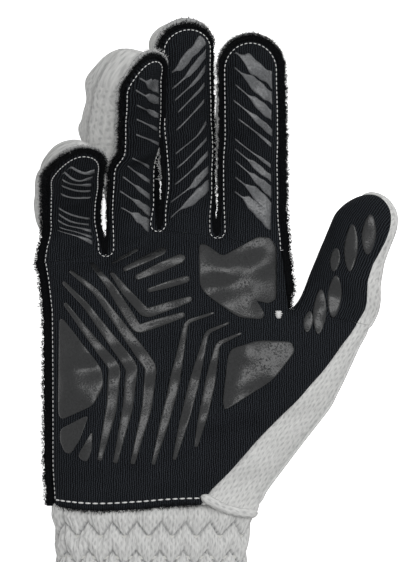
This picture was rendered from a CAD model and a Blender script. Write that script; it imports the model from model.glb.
"""A right-hand racing glove, palm up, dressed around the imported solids, in metres and degrees."""

import math

import bmesh
import bpy
import numpy as np
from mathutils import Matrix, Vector
from mathutils.bvhtree import BVHTree
from mathutils.kdtree import KDTree


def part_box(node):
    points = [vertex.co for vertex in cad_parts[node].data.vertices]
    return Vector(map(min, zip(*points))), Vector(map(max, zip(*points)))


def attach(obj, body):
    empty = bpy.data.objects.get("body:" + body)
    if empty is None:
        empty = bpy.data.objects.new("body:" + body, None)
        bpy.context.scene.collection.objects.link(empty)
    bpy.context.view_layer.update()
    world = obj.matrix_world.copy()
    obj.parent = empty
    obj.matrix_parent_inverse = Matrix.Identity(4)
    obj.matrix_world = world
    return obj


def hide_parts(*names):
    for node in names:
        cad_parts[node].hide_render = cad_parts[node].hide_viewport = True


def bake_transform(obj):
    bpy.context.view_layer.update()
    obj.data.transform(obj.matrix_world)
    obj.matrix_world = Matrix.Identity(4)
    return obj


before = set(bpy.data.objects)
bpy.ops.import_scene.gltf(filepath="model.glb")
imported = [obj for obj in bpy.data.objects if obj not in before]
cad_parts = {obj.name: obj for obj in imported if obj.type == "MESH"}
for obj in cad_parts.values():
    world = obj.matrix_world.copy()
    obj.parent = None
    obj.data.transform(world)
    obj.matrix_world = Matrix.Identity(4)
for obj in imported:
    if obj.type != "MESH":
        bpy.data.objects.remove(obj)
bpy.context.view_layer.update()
rng = np.random.default_rng(7)

MM = 0.001
QUARTER = math.pi / 2

# Cloth and hand, mostly as the part's source has them
CLOTH = 1.3 * MM
PALM_WIDTH = 100 * MM
PALM_LENGTH = 110 * MM
PALM_RISE = 11.5 * MM
HAND_DEPTH = 15.5 * MM
SEAM_HEIGHT = 15 * MM
PALM_FIN = 3.4 * MM
HAND_POWER = 3.2
BLEND_LENGTH = 22 * MM
BASE_SHARES = (
    (0, 0.93), (0.26, 0.96), (0.48, 1.055), (0.73, 1.03), (1, 0.977), (1.03, 0.755), (1.37, 0.69),
)
LITTLE_EDGE_SHARES = ((0.045, 0), (0.034, 0.15), (0.033, 0.45), (0.03, 0.74), (0.015, 0.86), (0, 0.93))
THUMB_EDGE_SHARES = (
    (0.9, 0), (0.93, 0.06), (1.075, 0.235), (1.2, 0.38), (1.26, 0.49), (1.32, 0.61), (1.37, 0.69),
)
COLUMN_SHARES = (0, 0.19, 0.38, 0.57, 0.76, 0.82, 1)
SIDE_STRETCH = 4  # the stretch of the hand's top edge between the index finger and the thumb
SIDE_FROM, SIDE_TO = COLUMN_SHARES[SIDE_STRETCH : SIDE_STRETCH + 2]
BLACK_FROM_SHARE = 0.72
BLACK_TO_SHARE = 0.972
BLACK_POWER = 1.9

# Fingers, as the part's source has them: lengths, shares and angles
FRONT_RISE = 6 * MM
THUMB_RISE = 8.5 * MM
BACK_DEPTH = 14.6 * MM
SECTION_POWER = 2.5
CROTCH_ROUND = 8 * MM
FOLD_HALF = 7.5 * MM
TURN_FROM = 6 * MM
TURN_TO = 22 * MM
FINGER_VALUES = (
    "name", "length", "half", "taper", "lean", "roll", "shift", "lift", "twist", "curls", "middle",
)
FINGERS = (
    ("little", 66 * MM, 0.098, 0.04, 3, 8, -0.265, 0.25, 0, (30, 30), 0.515),
    ("ring", 79 * MM, 0.098, 0.04, 2.2, 26, -0.327, 0.367, 14, (12, 18), 0.481),
    ("middle", 85 * MM, 0.1, 0.04, -0.6, 18, -0.09, 0.133, 4, (1, 9), 0.482),
    ("index", 84 * MM, 0.12, 0.06, -1, 0, 0.067, 0.05, 6, (1, 7), 0.476),
    ("thumb", 56 * MM, 0.142, 0.1, 21.3, -18, 0.035, 0.25, 0, (6, 6), 0.554),
)

# What the cloth adds to a finger: widths of its two raw edges, how far its back spills aside, how much
# deeper the back hangs, how far it stands out beyond the tip, more length and width, how far the finger leans
# aside at its middle joint and its tip, its rounded end as a share of its half width, and its outer hip
DRESS_VALUES = ("fins", "spill", "sag", "peak", "longer", "wide", "lean", "tip", "hip")
DRESS = {
    "little": ((3.2 * MM, 2.3 * MM), 8 * MM, -4.5 * MM, 0.8 * MM, 0, 0.6 * MM, (0.5 * MM, 4 * MM), 2.0, 0),
    "ring": ((1.4 * MM, 2.7 * MM), 9 * MM, 4.5 * MM, 1.4 * MM, 5 * MM, 0, (1.6 * MM, 4.6 * MM), 1.35, 0),
    "middle": (
        (2.1 * MM, 1.9 * MM), 5.5 * MM, 2 * MM, 2.2 * MM, 2.2 * MM, 1.2 * MM, (-1.2 * MM, -1 * MM), 0.9, 0,
    ),
    "index": ((1.9 * MM, 3.4 * MM), 4.4 * MM, 1 * MM, 0.6 * MM, 1.6 * MM, 0, (0, 0), 1.0, 0),
    "thumb": ((0, 0), 0, 0, 0, 0, 0, (0, 2 * MM), 1.15, 1.9 * MM),
}
HIP_REACH = 26 * MM
# Where the spill sets in, and over what length
FLOWS = {"little": (1 * MM, 14 * MM), "ring": (22 * MM, 16 * MM)}
RIDES = {"ring": 1.8 * MM}  # how far a finger's right raw edge climbs onto the next finger
SPILL_FADE = 0.6  # how much of the spill is gone at the tip
OUTER_SIDES = {"little": -1, "index": 1, "thumb": 1}
SOFT_POWER = 2.05  # section of the padded palm side, softer than the solids'
PALM_REACH = 24 * MM  # how far in from an edge the palm goes on rising
FINGER_REACH = 10 * MM
THUMB_REACH = 13 * MM
SPLIT = 22 * MM  # each finger's cloth is two pieces, which meet here
PAST_SPLIT = 1.02
KNUCKLE_BEND = (4 * MM, 21 * MM)
MIDDLE_BEND_HALF = 11.5 * MM
SPILL_FULL = 2.2  # how steeply the spill sets in below the seams, and how much of that is gone at the spine
SPILL_BACK = 1.2
FOOT_FIN = 1.3 * MM  # how much wider a raw edge is in the foot of a slit, and over what length
FOOT_FIN_REACH = 10 * MM
RAGGED = ((2.1, 1), (5.3, 2), (0.7, 0))  # radians to a millimetre of a cut edge's waves, and their starts
RAGGED_HIGH = 0.16 * MM
BACK_UNEVEN = 0.6  # of the palm side's waves
PATH_STEPS = 400
PATH_SHARE = 1.1  # how far a finger's bent path is worked out, as a share of its length

# Wrist and cuff, mostly as the part's source has them
CUFF_RISE = 12 * MM
CUFF_DEPTH = 15.5 * MM
CUFF_POWER = 2.7
GATHERS_TO = -25 * MM
CUFF_END = -53 * MM
HEM_WIDTH = 3.5 * MM
CUFF_SHARES = (
    (0, 0.44, 0.461), (0.25, 0.415, 0.455), (0.5, 0.41, 0.45), (1, 0.45, 0.455), (1.2, 0.455, 0.455),
)


def ease(t):
    s = np.clip(t, 0, 1)
    return s * s * (3 - 2 * s)


def mix(a, b, t):
    return a + (b - a) * t


def unit(vectors):
    return vectors / np.linalg.norm(vectors, axis=1, keepdims=True)


def run_along(line):
    """The length of a line of points up to each of them."""
    return np.concatenate([[0], np.cumsum(np.linalg.norm(np.diff(line, axis=0), axis=1))])


def at_run(values, run, at):
    """Values of a line's points at given lengths along it."""
    return np.stack([np.interp(at, run, values[:, k]) for k in range(values.shape[1])], -1)


# The hand's plan

palm_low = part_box("palm_panel")[0]
ORIGIN = np.array([palm_low[0] + PALM_FIN, palm_low[1], 0.0])  # of the plan, in the frame of the part

PALM_SIZE = np.array([PALM_WIDTH, PALM_LENGTH])
base_points = np.array(BASE_SHARES) * PALM_SIZE
EDGE_STEPS = 200
EDGE_SMOOTHING = 12


def edge_line(shares):
    """A smooth line through the points of one edge of the hand, evenly by count."""
    points = np.array(shares) * PALM_SIZE
    fine = np.linspace(0, len(points) - 1, EDGE_STEPS)
    kernel = np.ones(EDGE_SMOOTHING) / EDGE_SMOOTHING
    lines = []
    for k in range(2):
        line = np.interp(fine, np.arange(len(points)), points[:, k])
        before = 2 * line[0] - line[EDGE_SMOOTHING:0:-1]
        after = 2 * line[-1] - line[-2 : -EDGE_SMOOTHING - 2 : -1]
        smooth = np.convolve(np.concatenate([before, line, after]), kernel, "same")
        lines.append(smooth[EDGE_SMOOTHING:-EDGE_SMOOTHING])
    return np.stack(lines, -1)


little_edge = edge_line(LITTLE_EDGE_SHARES)
thumb_edge = edge_line(THUMB_EDGE_SHARES)


def on_edge(edge, v):
    return [np.interp(v, np.linspace(0, 1, EDGE_STEPS), edge[:, k]) for k in range(2)]


def hand_plan(u, v):
    """Plan position at share u across the hand and v up it, filled in between its four edges."""
    left, right = on_edge(little_edge, v), on_edge(thumb_edge, v)
    low_left, low_right = on_edge(little_edge, 0.0), on_edge(thumb_edge, 0.0)
    out = []
    for k in range(2):
        top = np.interp(u, COLUMN_SHARES, base_points[:, k])
        low = mix(low_left[k], low_right[k], u)
        corners = mix(low, mix(base_points[0][k], base_points[-1][k], u), v)
        out.append(mix(low, top, v) + mix(left[k], right[k], u) - corners)
    return out


# Uneven cloth: slow waves that all pieces share, so that their borders match

WAVES = 12
UNEVEN = 0.9 * MM
wave_turns = rng.uniform(0, 2 * math.pi, WAVES)
wave_lengths = rng.uniform(11 * MM, 30 * MM, WAVES)
wave_starts = rng.uniform(0, 2 * math.pi, WAVES)


def uneven(x, y, layer=0.0):
    """Height of the waves at plan positions; layer tells palm side and back apart."""
    total = 0
    for turn, length, start in zip(wave_turns, wave_lengths, wave_starts):
        along = x * math.cos(turn) + y * math.sin(turn)
        total = total + np.sin(along * 2 * math.pi / length + start + layer)
    return UNEVEN * total / math.sqrt(WAVES)


class Finger:
    """One finger's sizes, and where its base lies on the hand."""

    def __init__(self, index, row):
        row = dict(zip(FINGER_VALUES, row))
        self.name = row["name"]
        self.dress = dict(zip(DRESS_VALUES, DRESS[self.name]))
        self.length = row["length"] + self.dress["longer"]
        self.half = row["half"] * PALM_WIDTH
        self.taper = row["taper"]
        self.roll = math.radians(row["roll"])
        self.twist = math.radians(row["twist"])
        self.shift = row["shift"] * self.half
        self.lift = row["lift"] * FRONT_RISE
        self.curls = [math.radians(curl) for curl in row["curls"]]
        self.middle = row["middle"] * row["length"]
        self.rise = THUMB_RISE if self.name == "thumb" else FRONT_RISE
        self.reach = THUMB_REACH if self.name == "thumb" else FINGER_REACH
        self.core = (self.rise - BACK_DEPTH) / 2
        self.fins = self.dress["fins"]
        stretch = index if index < SIDE_STRETCH else SIDE_STRETCH + 1
        left, right = base_points[stretch], base_points[stretch + 1]
        self.origin = (left + right) / 2
        angle = math.radians(row["lean"])
        self.across = np.array([math.cos(angle), -math.sin(angle)])
        self.onward = np.array([math.sin(angle), math.cos(angle)])
        self.feet = {-1: self.local(left), 1: self.local(right)}
        self.round = self.length - self.half * self.dress["tip"]
        self.outer = OUTER_SIDES.get(self.name, 0)
        self.steps = np.linspace(0, self.length * PATH_SHARE, PATH_STEPS)
        bend = self.bend(self.steps)
        bend = (bend[1:] + bend[:-1]) / 2
        size = self.steps[1] - self.steps[0]
        self.forward = np.concatenate([[0], np.cumsum(np.cos(bend)) * size])
        self.up = np.concatenate([[0], np.cumsum(np.sin(bend)) * size])

    def local(self, point):
        return ((point - self.origin) @ self.across, (point - self.origin) @ self.onward)

    def plan(self, x, y):
        """Plan position of a finger's point before it bends."""
        return (self.origin[0] + self.across[0] * x + self.onward[0] * y,
                self.origin[1] + self.across[1] * x + self.onward[1] * y)

    def passed(self, y):
        knuckle = ease((y - TURN_FROM) / (TURN_TO - TURN_FROM))
        middle = ease((y - self.middle + FOLD_HALF) / (2 * FOLD_HALF))
        return knuckle, middle

    def bend(self, y):
        knuckle, middle = self.passed(y)
        return self.curls[0] * knuckle + self.curls[1] * middle

    def place(self, x, y, z):
        """Points in the frame of the part from x across, y along and z above the seams."""
        x, y, z = np.broadcast_arrays(x, y, z)
        knuckle, middle = self.passed(y)
        roll = self.roll * knuckle + self.twist * middle
        above = z - self.core
        below = np.maximum(-z, 0) / BACK_DEPTH
        flow_from, flow_over = FLOWS.get(self.name, (self.middle - FOLD_HALF, 2 * FOLD_HALF))
        flowing = ease((y - flow_from) / flow_over)
        spill = self.dress["spill"] * flowing * below * (SPILL_FULL - SPILL_BACK * np.minimum(below, 1))
        over = ease((y - self.round) / (self.length - self.round))
        lean = mix(*self.dress["lean"], over) * middle
        spill = spill * (1 - SPILL_FADE * ease((y - self.middle) / (self.length - self.middle)))
        aside = x * np.cos(roll) + above * np.sin(roll) + self.shift * knuckle + lean - spill
        raised = above * np.cos(roll) - x * np.sin(roll)
        bend = self.bend(y)
        ahead = np.where(y < 0, y, np.interp(y, self.steps, self.forward)) - raised * np.sin(bend)
        plan_x = self.origin[0] + self.across[0] * aside + self.onward[0] * ahead
        plan_y = self.origin[1] + self.across[1] * aside + self.onward[1] * ahead
        up = np.interp(y, self.steps, self.up)
        height = SEAM_HEIGHT + self.core + up + raised * np.cos(bend) + self.lift * knuckle
        return np.stack([plan_x, plan_y, height], -1) + ORIGIN

    def full(self, y):
        tapered = self.half * (1 - self.taper * np.maximum(y, 0) / self.length)
        return tapered + self.dress["wide"] * ease((y - TURN_TO) / TURN_TO)

    def half_at(self, side, y):
        """Half width on one side, wider where the finger runs out into the foot of a slit."""
        foot_x = np.where(side < 0, abs(self.feet[-1][0]), abs(self.feet[1][0]))
        foot_y = np.where(side < 0, self.feet[-1][1], self.feet[1][1])
        risen = np.clip((y - foot_y) / CROTCH_ROUND, 0, 1)
        full = self.full(y)
        outer = np.sign(side) == self.outer
        run_out = np.where(outer, 1 - ease((y - foot_y) / TURN_TO), 1 - np.sqrt(1 - (1 - risen) ** 2))
        hip = self.dress["hip"] * np.sin(math.pi * np.clip((y - foot_y) / HIP_REACH, 0, 1)) * outer
        return full + (foot_x - full) * run_out + hip

    def base_line(self, out):
        return mix(self.feet[-1][1], self.feet[1][1], (out + 1) / 2)

    def fin(self, side, y):
        """Width of the raw edge: wider in the foot of a slit, and uneven as a cut knit is."""
        outer = side == self.outer
        width = self.fins[0] if side < 0 else self.fins[1]
        foot = self.feet[side][1]
        grown = 0 if outer else FOOT_FIN * (1 - ease((y - foot) / FOOT_FIN_REACH))
        return ragged(y, side, width + grown)


def ragged(run, start, width):
    """The width of a cut edge, which wavers along it."""
    return width + sum(np.sin(run / MM * pace + shift * start) for pace, shift in RAGGED) * RAGGED_HIGH


fingers = [Finger(i, row) for i, row in enumerate(FINGERS)]
by_name = {finger.name: finger for finger in fingers}


# Height of the palm side, from how far a point lies from the nearest seam

SIDE_REACH = 34 * MM  # length of a finger's side seam that the hand's surface feels
SEAM_SAMPLE = 0.15 * MM


class SeamSet:
    """Seam lines in plan, and the distance to the nearest."""

    def __init__(self, lines):
        points = []
        for line in lines:
            line = np.asarray(line)
            run = run_along(line)
            points.append(at_run(line, run, np.linspace(0, run[-1], max(int(run[-1] / SEAM_SAMPLE), 2))))
        points = np.concatenate(points)
        self.tree = KDTree(len(points))
        for i, (x, y) in enumerate(points):
            self.tree.insert((x, y, 0), i)
        self.tree.balance()

    def distance(self, x, y):
        x, y = np.broadcast_arrays(x, y)
        found = [self.tree.find((a, b, 0))[2] for a, b in zip(x.ravel(), y.ravel())]
        return np.maximum(np.array(found).reshape(x.shape) - SEAM_SAMPLE / 2, 0)


def side_seam(name, side):
    finger = by_name[name]
    y = np.linspace(finger.feet[side][1], finger.feet[side][1] + SIDE_REACH, 200)
    return np.stack(finger.plan(side * finger.half_at(side, y), y), -1)


outer_seams = SeamSet([
    little_edge, thumb_edge, base_points[SIDE_STRETCH : SIDE_STRETCH + 2],
    side_seam("little", -1), side_seam("index", 1), side_seam("thumb", -1), side_seam("thumb", 1),
])
slit_seams = SeamSet([
    side_seam("little", 1), side_seam("ring", -1), side_seam("ring", 1), side_seam("middle", -1),
    side_seam("middle", 1), side_seam("index", -1),
])


def swell(distance, reach):
    near = 1 - np.clip(distance / reach, 0, 1)
    return (1 - near**SOFT_POWER) ** (1 / SOFT_POWER)


def seam_swell(x, y, reach):
    outer = swell(outer_seams.distance(x, y), reach)
    return np.minimum(outer, swell(slit_seams.distance(x, y), FINGER_REACH))


# Mounds and hollows of the palm: place and reach as shares of the palm, and height
THENAR = (0.98, 0.5, 0.27, 2.4 * MM)
HEEL = (0.2, 0.36, 0.24, 1.6 * MM)
HOLLOW = (0.55, 0.55, 0.24, -2.6 * MM)
KNUCKLE_PAD = (0.3, 0.9, 0.16, 0.9 * MM)


def near_base(v):
    return ease(1 - (1 - v) * PALM_LENGTH / BLEND_LENGTH)


WRIST_DIP = 1.4 * MM  # the palm's lower edge dips below the little finger and rises below the thumb
WRIST_DIP_REACH = 0.14


def palm_point(u, v, lift=0.0):
    x, y = hand_plan(u, v)
    y = y - WRIST_DIP * np.sin(2 * math.pi * u) * ease(1 - v / WRIST_DIP_REACH)
    at_thumb = ease((u - SIDE_FROM) / (SIDE_TO - SIDE_FROM))
    rise = mix(PALM_RISE, mix(FRONT_RISE, THUMB_RISE, at_thumb), near_base(v))
    reach = mix(PALM_REACH, mix(FINGER_REACH, THUMB_REACH, at_thumb), near_base(v))
    full = seam_swell(x, y, reach)
    z = SEAM_HEIGHT + CLOTH + (rise - CLOTH) * full + uneven(x, y) * full
    for place_x, place_y, size, height in (THENAR, HEEL, HOLLOW, KNUCKLE_PAD):
        far = ((x / PALM_WIDTH - place_x) / size) ** 2 + ((y / PALM_LENGTH - place_y) / size) ** 2
        z = z + height * np.exp(-far) * full * ease((1 - v) * PALM_LENGTH / BLEND_LENGTH)
    return np.stack(np.broadcast_arrays(x, y, z + lift), -1) + ORIGIN


def hand_fullness(u, v):
    section = (1 - np.abs(2 * u - 1) ** HAND_POWER) ** (1 / HAND_POWER)
    i = np.clip(np.searchsorted(COLUMN_SHARES, u, side="right") - 1, 0, len(COLUMN_SHARES) - 2)
    shares = np.array(COLUMN_SHARES)
    t = (u - shares[i]) / (shares[i + 1] - shares[i])
    finger = np.clip(1 - np.abs(2 * t - 1) ** SECTION_POWER, 0, 1) ** (1 / SECTION_POWER)
    return mix(section, np.where(i == SIDE_STRETCH, 0, finger), near_base(v))


def hand_back_point(u, v):
    x, y = hand_plan(u, v)
    full = hand_fullness(u, v)
    depth = mix(HAND_DEPTH, BACK_DEPTH, near_base(v)) * full
    z = SEAM_HEIGHT - depth + BACK_UNEVEN * uneven(x, y, 1.0) * full
    return np.stack(np.broadcast_arrays(x, y, np.maximum(z, 0)), -1) + ORIGIN


def front_level(finger, x, y):
    """Height of a finger's palm side above its seams."""
    x, y = np.broadcast_arrays(x, y)
    plan_x, plan_y = finger.plan(x, y)
    full = finger.full(y)
    over = np.clip((y - finger.round) / (finger.length - finger.round), 0, 1)
    out = np.clip(np.sqrt((np.abs(x) / finger.half_at(np.sign(x), y)) ** 2 + over**2), 0, 1)
    level = swell((1 - out) * full, full)
    low = y < SPLIT * PAST_SPLIT
    if low.any():
        reach = mix(finger.reach, full, ease(y / SPLIT))
        level = level.copy()
        level[low] = np.minimum(
            swell(outer_seams.distance(plan_x[low], plan_y[low]), reach[low]),
            swell(slit_seams.distance(plan_x[low], plan_y[low]), reach[low]),
        )
    return CLOTH + (finger.rise - CLOTH) * level + uneven(plan_x, plan_y) * level


def front_point(finger, x, y, lift=0.0):
    return finger.place(x, y, front_level(finger, x, y) + lift)


def back_point(finger, out, high, x, y):
    """A point of a finger's walls and back; high runs from 1 at its spine to 0 at the seam."""
    middle = finger.passed(y)[1]
    plan_x, plan_y = finger.plan(x, y)
    depth = BACK_DEPTH + finger.dress["sag"] * middle
    z = -depth * high + uneven(plan_x, plan_y, 2.0) * high * ease((y - finger.base_line(0.0)) / TURN_FROM)
    return finger.place(x, y, z)


# Meshes

MERGE_WITHIN = 0.01 * MM
SMALLEST_EDGE = 0.004 * MM


def grid_faces(rows, columns, wrap=False, start=0):
    faces = []
    for i in range(rows - 1):
        for j in range(columns if wrap else columns - 1):
            k = (j + 1) % columns
            a, b = start + i * columns, start + (i + 1) * columns
            faces.append((a + j, a + k, b + k, b + j))
    return faces


def tube_faces(rings, sides):
    """Faces of a tube of rings that is closed at both ends."""
    last = (rings - 1) * sides
    ends = [tuple(reversed(range(sides))), tuple(last + i for i in range(sides))]
    return grid_faces(rings, sides, wrap=True) + ends


def add_object(name, verts, faces, material, cloth=None):
    mesh = bpy.data.meshes.new(name)
    mesh.from_pydata(np.asarray(verts).reshape(-1, 3).tolist(), [], faces)
    if cloth is not None:
        attribute = mesh.attributes.new("cloth", "FLOAT_VECTOR", "POINT")
        attribute.data.foreach_set("vector", np.asarray(cloth, np.float32).reshape(-1))
    mesh.materials.append(material)
    mesh.shade_smooth()
    obj = bpy.data.objects.new(name, mesh)
    bpy.context.scene.collection.objects.link(obj)
    return obj


def add_grid(name, points, cloth, material, outward, wrap=False):
    """A grid of points as one surface whose faces look outward, without doubled points."""
    obj = add_object(name, points, grid_faces(*points.shape[:2], wrap=wrap), material, cloth)
    form = bmesh.new()
    form.from_mesh(obj.data)
    bmesh.ops.remove_doubles(form, verts=form.verts, dist=MERGE_WITHIN)
    bmesh.ops.dissolve_degenerate(form, edges=form.edges, dist=SMALLEST_EDGE)
    bmesh.ops.recalc_face_normals(form, faces=form.faces)
    if sum(face.normal.dot(outward(face.calc_center_median())) * face.calc_area() for face in form.faces) < 0:
        bmesh.ops.reverse_faces(form, faces=form.faces)
    form.to_mesh(obj.data)
    form.free()
    obj.data.shade_smooth()
    return obj


def up_way(point):
    return Vector((0, 0, 1))


def down_way(point):
    return Vector((0, 0, -1))


def thicken(obj, thickness):
    """Gives a sheet its real thickness, inwards."""
    solid = obj.modifiers.new("thick", "SOLIDIFY")
    solid.thickness = thickness
    solid.offset = -1
    mesh = bpy.data.meshes.new_from_object(obj.evaluated_get(bpy.context.evaluated_depsgraph_get()))
    obj.modifiers.clear()
    obj.data = mesh
    mesh.shade_smooth()
    return obj


class Batch:
    """Many small closed forms gathered into one mesh."""

    def __init__(self):
        self.verts = []
        self.faces = []
        self.count = 0

    def add(self, verts, faces):
        self.verts.append(np.asarray(verts).reshape(-1, 3))
        self.faces += [tuple(i + self.count for i in face) for face in faces]
        self.count += len(self.verts[-1])

    def build(self, name, material):
        verts = np.concatenate(self.verts)
        return add_object(name, verts, self.faces, material, verts / MM)


def closed_patch(top, bottom):
    """Verts and faces of a closed pad between two grids of points."""
    rows, columns = top.shape[:2]
    size = rows * columns
    faces = grid_faces(rows, columns)
    faces += [tuple(reversed(face)) for face in grid_faces(rows, columns, start=size)]
    for j in range(columns - 1):
        last = (rows - 1) * columns + j
        faces += [(j + 1, j, size + j, size + j + 1), (last, last + 1, size + last + 1, size + last)]
    for i in range(rows - 1):
        a, b = i * columns, (i + 1) * columns
        c, d = a + columns - 1, b + columns - 1
        faces += [(a, b, size + b, size + a), (d, c, size + c, size + d)]
    return np.concatenate([top.reshape(-1, 3), bottom.reshape(-1, 3)]), faces


# Materials

class Nodes:
    """A material's node tree, with short calls for its nodes."""

    def __init__(self, name, roughness, specular, sheen=0.0):
        self.material = bpy.data.materials.new(name)
        self.material.use_nodes = True
        self.tree = self.material.node_tree
        self.shader = self.tree.nodes["Principled BSDF"]
        self.shader.inputs["Roughness"].default_value = roughness
        self.shader.inputs["Specular IOR Level"].default_value = specular
        self.shader.inputs["Sheen Weight"].default_value = sheen

    def add(self, kind, **values):
        node = self.tree.nodes.new(kind)
        for key, value in values.items():
            setattr(node, key, value)
        return node

    def link(self, a, b):
        self.tree.links.new(a, b)

    def math(self, operation, *values):
        node = self.add("ShaderNodeMath", operation=operation)
        for slot, value in zip(node.inputs, values):
            if isinstance(value, (int, float)):
                slot.default_value = value
            else:
                self.link(value, slot)
        return node.outputs[0]

    def cloth(self):
        """The cloth's own place in millimetres: the vector, x across, y along, and how dark it is as z."""
        vector = self.add("ShaderNodeAttribute", attribute_name="cloth").outputs["Vector"]
        split = self.add("ShaderNodeSeparateXYZ")
        self.link(vector, split.inputs[0])
        return vector, split.outputs["X"], split.outputs["Y"], split.outputs["Z"]

    def wave(self, angle):
        """A sine that runs between 0 and 1."""
        return self.math("MULTIPLY_ADD", self.math("SINE", angle), 0.5, 0.5)

    def weigh(self, *parts):
        """The sum of values, each times its weight."""
        terms = [self.math("MULTIPLY", value, weight) for value, weight in parts]
        total = terms[0]
        for term in terms[1:]:
            total = self.math("ADD", total, term)
        return total

    def noise(self, vector, scale, detail=2.0):
        node = self.add("ShaderNodeTexNoise")
        node.inputs["Scale"].default_value = scale
        node.inputs["Detail"].default_value = detail
        self.link(vector, node.inputs["Vector"])
        return node.outputs["Fac"]

    def stretch(self, factor, low, high):
        node = self.add("ShaderNodeMapRange")
        node.inputs["From Min"].default_value = low
        node.inputs["From Max"].default_value = high
        self.link(factor, node.inputs["Value"])
        return node.outputs["Result"]

    def colour(self, factor, low, high):
        node = self.add("ShaderNodeMix", data_type="RGBA")
        colours = [slot for slot in node.inputs if slot.type == "RGBA"]
        self.link(factor, node.inputs["Factor"])
        colours[0].default_value = (*low, 1)
        colours[1].default_value = (*high, 1)
        result = next(slot for slot in node.outputs if slot.type == "RGBA")
        self.link(result, self.shader.inputs["Base Color"])

    def bump(self, height, strength, distance):
        node = self.add("ShaderNodeBump")
        node.inputs["Strength"].default_value = strength
        node.inputs["Distance"].default_value = distance
        self.link(height, node.inputs["Height"])
        self.link(node.outputs["Normal"], self.shader.inputs["Normal"])


def black_knit():
    """Fine ribbed black jersey: ribs along the cloth, broken into loops, and blacker at its raw edges."""
    n = Nodes("black_knit", 0.9, 0.06)
    vector, x, y, dark = n.cloth()
    rib_pitch, loop_pitch = 0.95, 0.8
    wander_scale, wander = 0.3, 1.2
    grain_scale, grain_detail = 1.7, 4.0
    rib_share, loop_share, grain_share = 0.6, 0.25, 0.7
    lowest, highest = 0.6, 1.15
    raw_dark = 0.94
    black, grey = (0.002, 0.0022, 0.0027), (0.029, 0.033, 0.039)
    bump, bump_deep = 0.5, 0.3 * MM
    shift = n.math("MULTIPLY", n.noise(vector, wander_scale), wander)
    across = n.math("MULTIPLY", n.math("ADD", x, shift), 2 * math.pi / rib_pitch)
    along = n.math("ADD", n.math("MULTIPLY", y, 2 * math.pi / loop_pitch), n.math("MULTIPLY", across, 0.5))
    grain = n.noise(vector, grain_scale, grain_detail)
    height = n.weigh((n.wave(across), rib_share), (n.wave(along), loop_share), (grain, grain_share))
    knit = n.math("MULTIPLY_ADD", dark, -raw_dark, 1.0)
    n.colour(n.math("MULTIPLY", n.stretch(height, lowest, highest), knit), black, grey)
    n.bump(height, bump, bump_deep)
    return n.material


def white_knit():
    """White knit: soft short streaks along the cloth, with faint staggered eyelets."""
    n = Nodes("white_knit", 0.85, 0.2, 0.05)
    vector, x, y, dark = n.cloth()
    across, pitch = 1.5, 3.2
    drift_scale, drift_reach = 0.25, 2.2
    eyelet_wide, eyelet_long = 0.24, 0.34
    eyelet_from, eyelet_to = 0.2, 1.3
    streak_across, streak_along, streak_detail = 1.5, 0.34, 3.0
    eyelet_share, streak_share = 0.28, 0.9
    lowest, highest = 0.4, 0.95
    fold_dark = 0.45
    grey, white = (0.19, 0.195, 0.2), (0.75, 0.75, 0.735)
    bump, bump_deep = 0.5, 0.5 * MM
    drift = n.math("MULTIPLY", n.noise(vector, drift_scale), drift_reach)
    place = n.math("DIVIDE", n.math("ADD", x, drift), across)
    side = n.math("SUBTRACT", n.math("FRACT", place), 0.5)
    odd = n.math("MULTIPLY", n.math("MODULO", n.math("ABSOLUTE", n.math("FLOOR", place)), 2.0), 0.5)
    up = n.math("ADD", n.math("DIVIDE", n.math("ADD", y, drift), pitch), odd)
    end = n.math("SUBTRACT", n.math("FRACT", up), 0.5)
    wide = n.math("POWER", n.math("DIVIDE", n.math("ABSOLUTE", side), eyelet_wide), 2.0)
    long = n.math("POWER", n.math("DIVIDE", n.math("ABSOLUTE", end), eyelet_long), 2.0)
    eyelet = n.stretch(n.math("ADD", wide, long), eyelet_from, eyelet_to)
    flat = n.add("ShaderNodeCombineXYZ")
    n.link(n.math("MULTIPLY", x, streak_across), flat.inputs[0])
    n.link(n.math("MULTIPLY", y, streak_along), flat.inputs[1])
    streaks = n.noise(flat.outputs[0], 1.0, streak_detail)
    shade = n.weigh((eyelet, eyelet_share), (streaks, streak_share))
    light = n.math("MULTIPLY_ADD", n.stretch(shade, lowest, highest), 0.5, 0.5)
    n.colour(n.math("MULTIPLY_ADD", dark, -fold_dark, light), grey, white)
    n.bump(shade, bump, bump_deep)
    return n.material


def silicone(name, low, high):
    """Glossy dark print, finely pitted, so that its reflections break into speckles."""
    n = Nodes(name, 0.25, 0.33)
    vector = n.cloth()[0]
    pit_scale, pit_detail, patch_scale = 1.3, 4.0, 0.2
    pit_range, patch_range, colour_range = (0.5, 0.6), (0.4, 0.62), (0.35, 0.65)
    smoothest, rougher = 0.2, 0.5
    bump, bump_deep = 0.35, 0.3 * MM
    pits = n.noise(vector, pit_scale, pit_detail)
    patches = n.noise(vector, patch_scale)
    speckle = n.math("MULTIPLY", n.stretch(pits, *pit_range), n.stretch(patches, *patch_range))
    n.link(n.math("MULTIPLY_ADD", speckle, rougher, smoothest), n.shader.inputs["Roughness"])
    n.colour(n.stretch(pits, *colour_range), high, low)
    n.bump(pits, bump, bump_deep)
    return n.material


YARN_SCALE = 1.3


def yarn(name, low, high, roughness, specular=0.2):
    n = Nodes(name, roughness, specular)
    vector = n.cloth()[0]
    n.colour(n.noise(vector, YARN_SCALE), low, high)
    return n.material


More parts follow.
